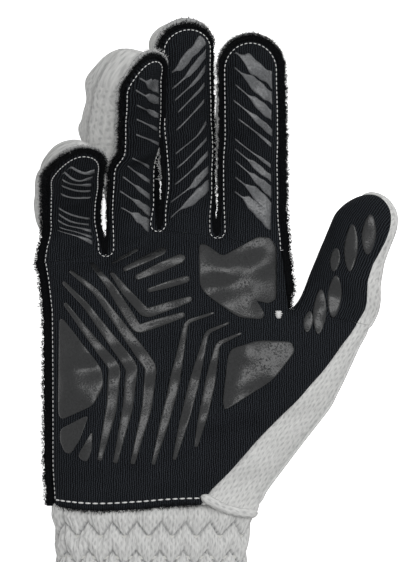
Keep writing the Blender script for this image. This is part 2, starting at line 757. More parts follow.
BLACK = black_knit()
WHITE = white_knit()
SILICONE = silicone("silicone_print", (0.008, 0.0085, 0.009), (0.022, 0.023, 0.024))
THIN_SILICONE = silicone("thin_silicone_print", (0.065, 0.067, 0.07), (0.13, 0.134, 0.14))
THREAD = yarn("white_thread", (0.6, 0.6, 0.6), (0.85, 0.85, 0.84), 0.6)
FUZZ = yarn("black_fibre", (0.001, 0.001, 0.0012), (0.012, 0.013, 0.014), 0.9, 0.1)
LINT = yarn("white_fibre", (0.55, 0.55, 0.55), (0.8, 0.8, 0.79), 0.9, 0.1)
RUBBER = yarn("elastic_cord", (0.5, 0.5, 0.47), (0.7, 0.7, 0.67), 0.7)


def dress(obj, slot, body, *nodes):
    """Gives a piece its slot, the solids that it stands for and the body or bend that carries it."""
    if nodes:
        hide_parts(*nodes)
    if isinstance(body, str):
        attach(obj, body)
    else:
        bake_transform(obj)
    return obj


# Fingers

ANGLE_STEPS = 22  # from spine to seam
LENGTH_STEP = 0.9 * MM
TIP_TURNS = 44
angles = np.linspace(0, QUARTER, ANGLE_STEPS + 1)
outs = np.sin(angles) ** (2 / SECTION_POWER)
highs = np.maximum(np.cos(angles), 0) ** (2 / SECTION_POWER)
both_outs = np.concatenate([-outs[::-1], outs[1:]])
both_highs = np.concatenate([highs[::-1], highs[1:]])

# A raw edge's section: how far out as a share of its width, and how high as a share of its thickness
FIN_SECTION = (
    (0.1, -0.35), (0.28, 0.05), (0.6, 0.15), (0.92, 0.0), (1.0, -0.45), (0.92, -0.9), (0.3, -1.0),
    (0.0, -1.0),
)
FIN_THICK = 1.0 * MM
WHITE_FIN_THICK = 0.7 * MM
WHITE_FIN_TOP = -0.1 * MM  # just below the seams' height
WHITE_FIN_MORE = 0.5 * MM  # beyond the black one
SEAM_GROOVE = 1.3 * MM
SEAM_GROOVE_PLACE = 0.64  # as a share of the way from spine to seam
SEAM_GROOVE_WIDTH = 0.022
FINGER_DARKER = 0.35
EDGE_DARK = np.array([0, 0, 1])
PEAK_SHARE = 0.8  # how much of the back's stand-out beyond the tip its raw edge adds again
GIRTH_SHARE = 0.8  # a quarter of a finger's girth, as a share of its half width and depth together


def flat_cloth(points):
    """Weave coordinates of points that lie about flat."""
    return points / MM * [1, 1, 0]


def cloth_at(x, y):
    x, y = np.broadcast_arrays(x, y)
    return np.stack([x, y, np.zeros_like(x)], -1) / MM


def front_cloth(finger, x, y):
    """Weave coordinates of a finger's front, whose knit is a little blacker than the palm's."""
    darker = FINGER_DARKER * ease(y / SPLIT) * (finger.name != "thumb")
    return cloth_at(x, y) + np.stack(np.broadcast_arrays(0.0, 0.0, darker + 0 * x), -1)


class Track:
    """The outline of a fingertip, as columns: up one side, round the end and down the other."""

    def __init__(self, finger):
        self.finger = finger
        count = int((finger.round - SPLIT) / LENGTH_STEP)
        up = np.linspace(SPLIT, finger.round, count)
        turns = np.linspace(0, math.pi, TIP_TURNS + 1)[1:-1]
        self.turn = np.concatenate([np.zeros(count), turns, np.full(count, math.pi)])
        self.start = np.concatenate([up, np.full(len(turns), finger.round), up[::-1]])
        self.side = np.where(self.turn < QUARTER, -1, 1)
        self.half = finger.half_at(self.side, self.start)
        self.tip = np.where((self.turn > 0) & (self.turn < math.pi), np.sin(self.turn), 0)

    def at(self, out, more=0.0):
        """Local x and y at share out from the spine, and more beyond that."""
        reach = self.finger.length - self.finger.round
        return -np.cos(self.turn) * (out * self.half + more), self.start + self.tip * (out * reach + more)

    def fin_widths(self, extra=0.0):
        share = self.turn / math.pi
        width = mix(self.finger.fin(-1, self.start), self.finger.fin(1, self.start), share)
        return width + ragged(self.turn * self.finger.half, 0.5, extra) * (extra != 0)


# How far out the black goes on the thumb's outer side, from its base to its tip
THUMB_BLACK = (0.689, 0.79, 0.94)
UNDER_STEP = 0.06 * MM  # how much lower a cloth lies where it comes out from under another
STRIP_ROWS = 10
THUMB_TURN = (0.45 * math.pi, 0.4 * math.pi)  # where round the thumb's tip the black draws in, and how soon
ALL_BLACK = 0.995  # beyond this share the black reaches the seam
EXTRA_ROWS = 6
ROW_CROWDING = 1.25  # rows of a finger's base lie closer together at the hand
GROOVE_DARK = 0.6


def black_share(track):
    """How far out the black front goes: all the way, but for the thumb's outer side, which is white."""
    if track.finger.name != "thumb":
        return np.ones_like(track.start)
    along = (track.start - SPLIT) / (track.finger.round - SPLIT)
    side = mix(THUMB_BLACK[1], THUMB_BLACK[2], along)
    return mix(1.0, side, ease((track.turn - THUMB_TURN[0]) / THUMB_TURN[1]))


def front_rows(track, shares):
    rows = []
    cloth = []
    for share in shares:
        x, y = track.at(share)
        rows.append(front_point(track.finger, x, y))
        cloth.append(front_cloth(track.finger, x, y))
    return rows, cloth


def fin_rows(finger, at, widths, top, thick):
    rows = []
    cloth = []
    for share, level in FIN_SECTION:
        x, y = at(widths * share)
        climb = share * RIDES.get(finger.name, 0) * ease(x / finger.half) * ease((y - TURN_FROM) / SPLIT)
        rows.append(finger.place(x, y, top + level * thick + climb))
        cloth.append(cloth_at(x, y) + EDGE_DARK)
    return rows, cloth


def make_tip_front(finger):
    track = Track(finger)
    limit = black_share(track)
    rows, cloth = front_rows(track, [share * limit for share in outs])
    if finger.name != "thumb":
        more, more_cloth = fin_rows(finger, lambda w: track.at(1.0, w), track.fin_widths(), CLOTH, FIN_THICK)
        rows, cloth = rows + more, cloth + more_cloth
    tip = add_grid(f"{finger.name}_tip_front_cloth", np.array(rows), np.array(cloth), BLACK, up_way)
    if finger.name == "thumb":
        shares = np.linspace(0, 1, STRIP_ROWS)
        rows, cloth = front_rows(track, [mix(limit, 1.0, share) for share in shares])
        kept = limit < ALL_BLACK
        rows = np.array(rows)[:, kept]
        rows[..., 2] -= UNDER_STEP * (1 - shares[:, None])
        add_strip("thumb_tip_side_cloth", rows, np.array(cloth)[:, kept], finger, "tip")
    return tip


def add_strip(name, points, cloth, finger, zone):
    """The white cloth that comes round the outer side of the thumb."""
    obj = add_grid(name, points, cloth, WHITE, up_way)
    dress(obj, "white_knit", bend_span(finger, zone))


def base_positions(finger, high=None):
    """Columns across and rows along the stretch from the finger's base line to its split."""
    count = int(SPLIT / LENGTH_STEP) + EXTRA_ROWS
    t = (np.linspace(0, 1, count) ** ROW_CROWDING)[:, None]
    limit = np.ones_like(t) if high is None else high(t)
    across = both_outs[None, :]
    out = np.where(across > 0, across * limit, across)
    start = finger.base_line(out)
    return out, start + (SPLIT - start) * t, t


def thumb_limit(t):
    """How far out the black goes on the outer side of the thumb's base."""
    return mix(THUMB_BLACK[0], THUMB_BLACK[1], t)


def widen(grid, rows, side):
    """Puts rows as further columns at one side of a grid."""
    more = np.array(rows).transpose(1, 0, 2)
    return np.concatenate([more[:, ::-1], grid] if side < 0 else [grid, more], axis=1)


def make_base_front(finger):
    name = finger.name
    out, y, t = base_positions(finger, high=thumb_limit if name == "thumb" else None)
    side = np.where(out < 0, -1, 1)
    x = out * finger.half_at(side, y)
    points, cloth = front_point(finger, x, y), front_cloth(finger, x, y)
    if name == "thumb":
        share = np.linspace(0, 1, STRIP_ROWS)[None, :]
        out = mix(thumb_limit(t), 1.0, share)
        start = finger.base_line(out)
        y_side = start + (SPLIT - start) * t
        x_side = out * finger.half_at(1, y_side)
        strip = front_point(finger, x_side, y_side)
        strip[..., 2] -= UNDER_STEP * (1 - share)
        add_strip("thumb_base_side_cloth", strip, cloth_at(x_side, y_side), finger, "base")
    else:
        for s in (-1, 1):
            line = y[:, 0] if s < 0 else y[:, -1]
            at = lambda more, s=s, line=line: (s * (finger.half_at(s, line) + more), line)
            fin, fin_cloth = fin_rows(finger, at, finger.fin(s, line), CLOTH, FIN_THICK)
            points, cloth = widen(points, fin, s), widen(cloth, fin_cloth, s)
    return add_grid(f"{name}_base_front_cloth", points, cloth, BLACK, up_way)


def side_groove(share):
    """Depth of the seam between a side wall and the back."""
    return SEAM_GROOVE * np.exp(-(((share - SEAM_GROOVE_PLACE) / SEAM_GROOVE_WIDTH) ** 2))


def make_tip_back(finger):
    """White walls and back of a fingertip, with the white raw edge that shows beyond the black one."""
    track = Track(finger)
    girth = (finger.half + BACK_DEPTH) * GIRTH_SHARE
    peak = finger.dress["peak"] * track.tip
    rows = []
    cloth = []
    for share, out, high in zip(angles / QUARTER, outs, highs):
        dent = side_groove(share)
        x, y = track.at(out * (1 - dent / finger.half), peak * out)
        rows.append(back_point(finger, out, high * (1 - dent / BACK_DEPTH), x, y))
        flat = cloth_at(track.side * share * girth, track.start + track.turn * finger.half / 2)
        cloth.append(flat + [0, 0, GROOVE_DARK * dent / SEAM_GROOVE])
    if finger.name != "thumb":
        widths = track.fin_widths() + (WHITE_FIN_MORE + peak * PEAK_SHARE)
        at = lambda w: track.at(1.0, w)
        more, more_cloth = fin_rows(finger, at, widths, WHITE_FIN_TOP, WHITE_FIN_THICK)
        rows, cloth = rows + more, cloth + more_cloth
    return add_grid(f"{finger.name}_tip_back_cloth", np.array(rows), np.array(cloth), WHITE, down_way)


def make_base_back(finger):
    across, high = both_outs[None, :], both_highs[None, :]
    out, y, _ = base_positions(finger)
    share = np.abs(np.concatenate([-angles[::-1], angles[1:]]) / QUARTER)[None, :]
    dent = side_groove(share) * ease(y / TURN_FROM)
    side = np.where(across < 0, -1, 1)
    x = across * finger.half_at(side, y) * (1 - dent / finger.half)
    points = back_point(finger, across, high * (1 - dent / BACK_DEPTH), x, y)
    cloth = cloth_at(side * share * (finger.half + BACK_DEPTH) * GIRTH_SHARE, y)
    return add_grid(f"{finger.name}_base_back_cloth", points, cloth, WHITE, down_way)


# Stitches and fibres

STITCH = {"length": 1.3 * MM, "gap": 0.62 * MM, "radius": 0.2 * MM}
HEAVY_STITCH = {"length": 2.3 * MM, "gap": 0.65 * MM, "radius": 0.36 * MM}
STITCH_IN = 0.5 * MM  # stitches lie this far inside the seam
STITCH_LIFT = 0.12 * MM
THREAD_SIDES = 6
THREAD_RINGS = 5


def add_stitches(batch, line, kind):
    """Short threads laid along a line of points, each sunk at both ends."""
    run = run_along(line)
    count = int(run[-1] / (kind["length"] + kind["gap"]))
    rings = np.linspace(0, 1, THREAD_RINGS)
    bow = np.sin(rings * math.pi)
    fat = kind["radius"] * (0.5 + 0.5 * np.sqrt(bow))
    faces = tube_faces(THREAD_RINGS, THREAD_SIDES)
    for k in range(count):
        centre = at_run(line, run, (k + 0.15) * run[-1] / count + rings * kind["length"])
        way = centre[-1] - centre[0]
        way /= max(np.linalg.norm(way), 1e-9)
        side = np.cross((0, 0, 1), way)
        side /= max(np.linalg.norm(side), 1e-9)
        normal = np.cross(way, side)
        centre = centre + normal * ((bow - 0.4) * kind["radius"])[:, None]
        points = []
        for a in np.arange(THREAD_SIDES) * 2 * math.pi / THREAD_SIDES:
            points.append(centre + (side * math.cos(a) + normal * math.sin(a)) * fat[:, None])
        batch.add(np.stack(points, 1), faces)


FIBRE_LENGTHS = (0.5 * MM, 1.5 * MM)
SLIT_FIBRE_SHARE = 0.3  # how long and how many the fibres in a slit are, beside those outside
FIBRE_THICK = 0.15 * MM
FIBRE_SPREAD = 0.4 * MM
FIBRE_STRAY = 0.8  # how far fibres lean away from the edge's own direction
FIBRE_BOW = 0.3 * MM
FIBRE_WAIST = (0.55, 0.6)  # place and thickness of a fibre's second ring, as shares
END_BOW = 2.2  # how much further a fibre's end bows than its second ring
# Fibres to a millimetre: at the rim of a raw edge, on top of it, within it, along the wrist and of white lint
RIM_FIBRES = 12.0
TOP_FIBRES = 4.0
INNER_FIBRES = 3.0
WRIST_FIBRES = 7.0
LINT_FIBRES = 4.0
TOP_PLACE = 0.6  # of the fibres on top, as a share of the raw edge's width


def all_along(line, way):
    """One direction for each point of a line."""
    return np.tile(np.array(way, float), (len(line), 1))


def add_fibres(batch, line, outward, per_mm=RIM_FIBRES, spread=FIBRE_SPREAD, slit=False):
    """Loose fibres along a raw edge: thin tapering spikes that lean every way."""
    less = SLIT_FIBRE_SHARE if slit else 1
    run = run_along(line)
    count = int(run[-1] / MM * per_mm * less)
    where = rng.uniform(0, run[-1], count)
    foot = at_run(line, run, where) + rng.normal(size=(count, 3)) * spread * less
    out = unit(at_run(outward, run, where) + rng.normal(size=(count, 3)) * FIBRE_STRAY)
    long = rng.uniform(*FIBRE_LENGTHS, count)[:, None] * math.sqrt(less)
    side = unit(np.cross(out, rng.normal(size=(count, 3))))
    other = np.cross(out, side)
    bow = (side * rng.normal(size=(count, 1)) + other * rng.normal(size=(count, 1))) * FIBRE_BOW
    corners = [side * math.cos(a) + other * math.sin(a) for a in (0, 2 * math.pi / 3, 4 * math.pi / 3)]
    rings = [foot + corner * FIBRE_THICK for corner in corners]
    waist, thin = FIBRE_WAIST
    rings += [foot + out * long * waist + bow + corner * FIBRE_THICK * thin for corner in corners]
    verts = np.stack([*rings, foot + out * long + bow * END_BOW], 1)
    faces = [(2, 1, 0), (0, 1, 4, 3), (1, 2, 5, 4), (2, 0, 3, 5), (3, 4, 6), (4, 5, 6), (5, 3, 6)]
    for k in range(count):
        batch.add(verts[k], faces)


SLIT_STITCH_HALF = 3.2 * MM  # the stitched U round the foot of a slit
SLIT_STITCH_LOW = 0.8 * MM


def side_stitches(finger, side):
    """Local x and y of one side's stitches, from the foot of its slit or its seam's end to the split."""
    foot_x, foot_y = abs(finger.feet[side][0]), finger.feet[side][1]
    if side == finger.outer:
        y = np.linspace(foot_y, SPLIT, 60)
        return side * (finger.half_at(side, y) - STITCH_IN), y
    turn = np.linspace(QUARTER, 0, 24)
    low_x = foot_x - SLIT_STITCH_HALF * np.cos(turn)
    low_y = foot_y - SLIT_STITCH_LOW + SLIT_STITCH_HALF * (1 - np.sin(turn))
    y = np.linspace(low_y[-1], SPLIT, 50)[1:]
    seam = finger.half_at(side, y) - STITCH_IN
    near = mix(np.minimum(seam, foot_x - SLIT_STITCH_HALF), seam, ease((y - y[0]) / (SPLIT - y[0])))
    return side * np.concatenate([low_x, near]), np.concatenate([low_y, y])


def finger_stretches(track):
    """The two sides and the end of a fingertip's outline, and whether each lies in a slit."""
    end = np.flatnonzero(track.tip)
    return (
        (slice(0, end[0]), track.finger.outer != -1 and track.finger.name != "ring"),
        (slice(end[0], end[-1] + 1), False),
        (slice(end[-1] + 1, len(track.turn)), track.finger.outer != 1),
    )


# Rows of fibres round a fingertip: place as a share of the raw edge, height as a share of its thickness, how
# far they point outward, and how many to a millimetre
TIP_FIBRES = ((1.0, -0.2, 1.0, RIM_FIBRES), (0.75, 0.1, 0.3, INNER_FIBRES), (0.45, 0.1, 0.3, INNER_FIBRES))
LINT_OUT = 0.4 * MM
LINT_SPREAD = 0.3 * MM


def add_finger_seams(finger):
    name = finger.name
    track = Track(finger)
    stitches = {"base": Batch(), "tip": Batch()}
    fibres = {"base": Batch(), "tip": Batch()}
    lint = Batch()
    x, y = track.at(1.0, -STITCH_IN)
    add_stitches(stitches["tip"], front_point(finger, x, y, STITCH_LIFT), STITCH)
    inner = finger.place(*track.at(1.0), CLOTH)
    for share, level, lean, per_mm in TIP_FIBRES:
        x, y = track.at(1.0, track.fin_widths() * share)
        rim = finger.place(x, y, CLOTH + level * FIN_THICK)
        way = unit(rim - inner)
        out = way * lean + np.array([0, 0, 1.0]) * (1 - lean)
        for stretch, slit in finger_stretches(track):
            add_fibres(fibres["tip"], rim[stretch], out[stretch], per_mm, slit=slit)
    x, y = track.at(1.0, track.fin_widths() + LINT_OUT + finger.dress["peak"] * PEAK_SHARE * track.tip)
    add_fibres(lint, finger.place(x, y, -LINT_OUT), way, LINT_FIBRES, LINT_SPREAD)
    for side in (-1, 1):
        x, y = side_stitches(finger, side)
        add_stitches(stitches["base"], front_point(finger, x, y, STITCH_LIFT), STITCH)
        y = np.linspace(finger.feet[side][1], SPLIT, 60)
        half = finger.half_at(side, y)
        line = finger.place(side * half, y, CLOTH)
        rim = finger.place(side * (half + finger.fin(side, y)), y, CLOTH)
        slit = side != finger.outer
        add_fibres(fibres["base"], rim, unit(rim - line), slit=slit)
        top = mix(line, rim, TOP_PLACE)
        add_fibres(fibres["base"], top, all_along(line, (0, 0, 1)), TOP_FIBRES, slit=slit)
    for zone in ("base", "tip"):
        dress(stitches[zone].build(f"{name}_{zone}_stitches", THREAD), "white_knit", bend_span(finger, zone))
        dress(fibres[zone].build(f"{name}_{zone}_fibres", FUZZ), "black_knit", bend_span(finger, zone))
    dress(lint.build(f"{name}_lint", LINT), "white_knit", bend_span(finger, "tip"))


# Silicone print on the fingers

PRINT_HIGH = 0.5 * MM
PRINT_SUNK = 0.4 * MM
PRINT_LIFT = 0.04 * MM
PRINT_ACROSS = np.array([-1, -0.9, -0.7, -0.35, 0, 0.35, 0.7, 0.9, 1])
PRINT_CROWN = np.clip(1 - np.abs(PRINT_ACROSS) ** 6, 0, 1) ** 0.5
STRIP_STEPS = 20
END_ROUND = 12  # how soon a strip of print reaches its full height


def add_strip_print(batch, finger, line_x, line_y, half_widths, way):
    """A raised strip of print along a line on a finger's front; way is the direction of its width."""
    x = line_x[:, None] + PRINT_ACROSS * half_widths[:, None] * way[0]
    y = np.minimum(line_y[:, None] + PRINT_ACROSS * half_widths[:, None] * way[1], tip_limit(finger, x))
    t = np.linspace(0, 1, len(line_x))[:, None]
    ends = np.clip(np.minimum(t, 1 - t) * END_ROUND, 0, 1) ** 0.5
    top = front_point(finger, x, y, PRINT_LIFT + PRINT_HIGH * PRINT_CROWN * ends)
    bottom = front_point(finger, x, y, -PRINT_SUNK)
    batch.add(*closed_patch(top, bottom))


# Of each finger's slashes: tilt, the stretch across as shares of the half width, how soon and how far they
# thicken, and the places of two groups as shares of the length. They thicken away from the middle joint.
SLASHES = {
    "index": {"tilt": -40, "across": (-0.58, 0.74), "pull": 0.14, "thick": 3.5 * MM, "fade": 0.8,
              "groups": ((0.19, 0.26, 0.34, 0.405, 0.46), (0.57, 0.64, 0.725, 0.81, 0.895))},
    "middle": {"tilt": 43, "across": (-0.7, 0.76), "pull": 0.2, "thick": 2.9 * MM, "fade": 2.2,
               "groups": ((0.15, 0.23, 0.31, 0.385, 0.46), (0.58, 0.66, 0.73, 0.8, 0.88))},
    "ring": {"tilt": -34, "across": (-0.62, 0.7), "pull": 0.22, "thick": 2.6 * MM, "fade": 1.6,
             "groups": ((0.14, 0.22, 0.3, 0.375, 0.44), (0.58, 0.66, 0.74, 0.82, 0.89))},
    "little": {"tilt": -26, "across": (-0.66, 0.72), "pull": 0.5, "thick": 1.1 * MM, "fade": 1,
               "groups": ((0.16, 0.21, 0.27, 0.32, 0.37), (0.58, 0.67, 0.75, 0.82, 0.89))},
}
SLASH_THIN = 0.4 * MM
SLASH_STRAY = (0.05, 0.1, 0.06)  # of a slash's start, of its end and of where it thickens
SLASH_BOW = 0.35 * MM
SLASH_LATER = 0.3  # how much later a slash near the joint thickens
SLASH_GROWS = 0.3  # over this share of its length it thickens
SLASH_LEAST = 0.15  # how thick it gets at the joint, as a share
PRINT_LIMIT = 0.84  # as a share of the way from the finger's middle line to its seam
BASE_ZONE = 25.5 * MM


def tip_limit(finger, x):
    """How far along the finger its print may reach at local x."""
    share = np.sqrt(np.clip(PRINT_LIMIT**2 - (x / finger.half) ** 2, 0, 1))
    return finger.round + (finger.length - finger.round) * share


def add_slashes(finger, made):
    kind = SLASHES[finger.name]
    slope = math.tan(math.radians(kind["tilt"]))
    t = np.linspace(0, 1, STRIP_STEPS)
    for group, places in enumerate(kind["groups"]):
        for k, place in enumerate(places):
            share = k / (len(places) - 1)
            from_joint = share if group else 1 - share
            start = kind["across"][0] + SLASH_STRAY[0] * rng.normal()
            end = kind["across"][1] - SLASH_STRAY[1] * rng.random() * (1 - from_joint)
            x = mix(start, end, t) * finger.half
            y = place * finger.length + slope * x + SLASH_BOW * np.sin(t * 3 + k)
            pull = kind["pull"] + SLASH_LATER * (1 - from_joint) + SLASH_STRAY[2] * rng.normal()
            uneven_edge = 1 + 0.16 * np.sin(t * 9 + rng.uniform(0, 6)) + 0.1 * np.sin(t * 23 + k)
            fade = SLASH_LEAST + (1 - SLASH_LEAST) * from_joint ** kind["fade"]
            thick = (kind["thick"] - SLASH_THIN) * ease((t - pull) / SLASH_GROWS) * fade
            half_width = SLASH_THIN + thick * uneven_edge
            zone = "base" if y.mean() < BASE_ZONE else "tip"
            add_strip_print(made[zone], finger, x, y, half_width, (0, 1))


def build_print(finger, made, material):
    """Builds the print of a finger's two stretches, which bends with them."""
    for zone, batch in made.items():
        obj = batch.build(f"{finger.name}_{zone}_print", material)
        dress(obj, "silicone", bend_span(finger, zone))


def add_finger_print(finger):
    made = {"base": Batch(), "tip": Batch()}
    add_slashes(finger, made)
    build_print(finger, made, THIN_SILICONE)


def bend_span(finger, zone):
    """The two bodies and the ends of the bend that a stretch of the finger crosses."""
    base, tip = f"{finger.name}_base", f"{finger.name}_tip"
    if zone == "base":
        low, high = 0.0 if finger.name == "thumb" else KNUCKLE_BEND[0], KNUCKLE_BEND[1]
        bodies = ("hand", base)
    else:
        reach = min(MIDDLE_BEND_HALF, finger.middle - SPLIT)
        low, high = finger.middle - reach, finger.middle + reach
        bodies = (base, tip)
    return (*bodies, *(tuple(finger.place(0.0, y, finger.core)) for y in (low, high)))


def add_finger(finger):
    name = finger.name
    pieces = (
        (make_base_front(finger), "black_knit", "base", ("knuckle_fold", "base_front")),
        (make_tip_front(finger), "black_knit", "tip", ("middle_fold", "tip_front")),
        (make_base_back(finger), "white_knit", "base",
         ("knuckle_fold", "base_back", "base_wall_little_side", "base_wall_thumb_side")),
        (make_tip_back(finger), "white_knit", "tip", ("middle_fold", "tip_back", "tip_wall")),
    )
    for obj, slot, zone, parts in pieces:
        nodes = [f"{name}_{part}" for part in parts if f"{name}_{part}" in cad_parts]
        dress(obj, slot, bend_span(finger, zone), *nodes)
    if name != "thumb":
        add_finger_seams(finger)
        add_finger_print(finger)


for finger in fingers:
    add_finger(finger)


# Hand

DENSER_FROM = 0.78  # from here up the hand its rows lie closer together
ROWS = (76, 56)
HAND_ROWS = np.concatenate([np.linspace(0, DENSER_FROM, ROWS[0]), np.linspace(DENSER_FROM, 1, ROWS[1])[1:]])
SIDE_COLUMNS = 14
BLACK_STEP = 0.35 * MM  # the black panel lies this much above the white one beside it
STRAIGHTEN = 3  # how soon the panel's columns follow those of the fingers, going up


def black_edge(v):
    return mix(BLACK_FROM_SHARE, BLACK_TO_SHARE, 1 - (1 - v) ** BLACK_POWER)


def column_shares():
    """Shares across the hand that meet the columns of each finger's base."""
    shares = []
    for i in range(len(COLUMN_SHARES) - 1):
        low, high = COLUMN_SHARES[i], COLUMN_SHARES[i + 1]
        if i == SIDE_STRETCH:
            shares += list(np.linspace(low, high, SIDE_COLUMNS)[1:-1])
        else:
            shares += list(low + (high - low) * (both_outs + 1) / 2)
    return np.unique(np.round(shares, 9))


COLUMNS = column_shares()


def add_fin(name, line, outward, widths, fibres):
    """A raw edge along a line of the hand, as its own closed strip, with loose fibres."""
    section = [(0.0, -0.9), (0.0, 0.0), *FIN_SECTION[1:-1], (0.0, -1.0)]
    rows = np.array([
        line + outward * (widths * share)[:, None] + [0, 0, level * FIN_THICK] for share, level in section
    ])
    obj = add_grid(name, rows, flat_cloth(rows) + EDGE_DARK, BLACK, up_way)
    rim = line + outward * widths[:, None]
    add_fibres(fibres, rim, outward)
    add_fibres(fibres, mix(line, rim, TOP_PLACE), all_along(line, (0, 0, 1)), TOP_FIBRES)
    dress(obj, "black_knit", "hand")


FLAP_ENDS = (3.8 * MM, -2.3 * MM)
FLAP_DIP = 2.2 * MM
FLAP_TO = 0.995
FLAP_UP = 0.012
FLAP_LOWER = 1.3 * MM  # below the side panel's own edge
FLAP_STEP = 0.2 * MM


def flap_drop(share):
    """How far the side panel's turned edge lies above the palm's lower edge, from its black side outward."""
    return mix(*FLAP_ENDS, share) - FLAP_DIP * np.sin(share * math.pi)


def add_panel(name, points, cloth, material, outward, slot, node):
    """One of the hand's three sewn panels, as a sheet with its real thickness."""
    panel = thicken(add_grid(name, points, cloth, material, outward), CLOTH)
    dress(panel, slot, "hand", node)


SIDE_WEAVE_TURN = math.radians(35)  # how far the side panel's knit runs aslant
SIDE_UNDER_SHARE = 0.012  # how far the side panel goes on under the black one
SIDE_UNDER = (0.8 * MM, 2 * MM)  # how much deeper it lies there, and over what width it rises
FLAP_REACH = 0.08


def add_palm():
    u, v = np.meshgrid(COLUMNS, HAND_ROWS)
    limit = black_edge(v)
    share = mix(u * limit, np.minimum(u, limit), ease(v * STRAIGHTEN))
    points = palm_point(share, v)
    cloth = flat_cloth(points - ORIGIN)
    add_panel("palm_cloth", points, cloth, BLACK, up_way, "black_knit", "palm_panel")
    side_share = mix(limit - SIDE_UNDER_SHARE, 1.0, np.linspace(0, 1, len(COLUMNS))[None, :])
    points = palm_point(side_share, v)
    under = 1 - ease((side_share - limit) * PALM_WIDTH / SIDE_UNDER[1])
    below = ease((1 - v) * PALM_LENGTH / BLEND_LENGTH * 2) * (BLACK_STEP + SIDE_UNDER[0] * under)
    points[..., 2] -= UNDER_STEP + below
    drop = np.minimum(flap_drop((side_share - BLACK_FROM_SHARE) / (1 - BLACK_FROM_SHARE)), 0)
    points[..., 1] += drop * (1 - ease(v / FLAP_REACH))
    c, s = math.cos(SIDE_WEAVE_TURN), math.sin(SIDE_WEAVE_TURN)
    x, y, z = np.moveaxis(flat_cloth(points - ORIGIN), -1, 0)
    cloth = np.stack([x * c - y * s, x * s + y * c, z], -1)
    add_panel("thumb_side_cloth", points, cloth, WHITE, up_way, "white_knit", "thumb_side_panel")
    points = hand_back_point(u, v)
    cloth = flat_cloth(points - ORIGIN)
    add_panel("back_cloth", points, cloth, WHITE, down_way, "white_knit", "back_panel")


add_palm()


# The palm's seams: places as shares up the palm or across it, and how its raw edges run
WRIST_SEAM_AT = 0.034
WRIST_SEAM_ENDS = (0.008, 0.992)
WEB_SEAM_AT = 0.994
WEB_WAY = (0.99, 0.14, 0)
WEB_NARROWS = (0.75, 0.6, 0.4)  # by how much the web's raw edge narrows, from where and over what share of it
WRIST_RAW = (0.8 * MM, 0.1 * MM)  # how far in from the raw edge, and how high, its upper fibres stand
PALM_EDGE_END = 1.2 * MM  # how far the palm's raw edge runs on up the little finger


def add_palm_seams():
    stitches = Batch()
    fibres = Batch()
    v = np.linspace(0, 1, 240)
    edge = palm_point(np.zeros_like(v), v)
    edge[-1, 1] += PALM_EDGE_END
    add_fin("palm_edge", edge, all_along(edge, (-1, 0, 0)), ragged(edge[:, 1], 1.0, PALM_FIN), fibres)
    inside = STITCH_IN / PALM_WIDTH
    add_stitches(stitches, palm_point(np.full_like(v, inside), v)[8:] + [0, 0, STITCH_LIFT], STITCH)
    # From the index finger down to the root of the thumb
    u = np.linspace(SIDE_FROM, SIDE_TO, 80)
    web = palm_point(u, np.ones_like(u))
    share = np.linspace(0, 1, len(u))
    less, start, over = WEB_NARROWS
    width = by_name["index"].fins[1] * (1 - less * ease((share - start) / over))
    add_fin("web_edge", web, all_along(web, WEB_WAY), ragged(web[:, 1], 2.0, width), fibres)
    line = palm_point(u, np.full_like(u, WEB_SEAM_AT))
    add_stitches(stitches, line + [-STITCH_IN, 0, STITCH_LIFT], STITCH)
    # Along the wrist
    u = np.linspace(*WRIST_SEAM_ENDS, 200) * BLACK_FROM_SHARE
    low_row = np.full_like(u, WRIST_SEAM_AT)
    add_stitches(stitches, palm_point(u, low_row) + [0, 0, STITCH_LIFT], HEAVY_STITCH)
    end = palm_point(u, np.zeros_like(u))
    add_fibres(fibres, end, all_along(end, (0, -1, -0.1)), WRIST_FIBRES)
    add_fibres(fibres, end + [0, *WRIST_RAW], all_along(end, (0, -0.4, 1)), TOP_FIBRES)
    dress(stitches.build("palm_stitches", THREAD), "white_knit", "hand")
    dress(fibres.build("palm_fibres", FUZZ), "black_knit", "hand")


add_palm_seams()


ROLL_SIDES = 14
ROLL_ENDS = 14  # how soon a roll reaches its full thickness
ROLL_FLAT = 1.25  # how much wider than tall it is
ROLL_WEAVE = 0.7 * MM


def add_roll(name, line, radius, body):
    """A round folded edge of white knit along a line."""
    way = unit(np.gradient(line, axis=0))
    side = unit(np.cross(way, (0, 0, 1)))
    top = np.cross(side, way)
    share = np.linspace(0, 1, len(line))
    fat = radius * np.clip(np.minimum(share, 1 - share) * ROLL_ENDS, 0.05, 1) ** 0.5
    rings = []
    for a in np.arange(ROLL_SIDES) * 2 * math.pi / ROLL_SIDES:
        rings.append(line + (side * math.cos(a) * ROLL_FLAT + top * math.sin(a)) * fat[:, None])
    around = np.arange(ROLL_SIDES)[None, :] * ROLL_WEAVE
    cloth = cloth_at(around, run_along(line)[:, None])
    obj = add_object(name, np.stack(rings, 1), tube_faces(len(line), ROLL_SIDES), WHITE, cloth)
    dress(obj, "white_knit", body)


SIDE_ROLL = 0.85 * MM
FLAP_ROLL = 1.6 * MM


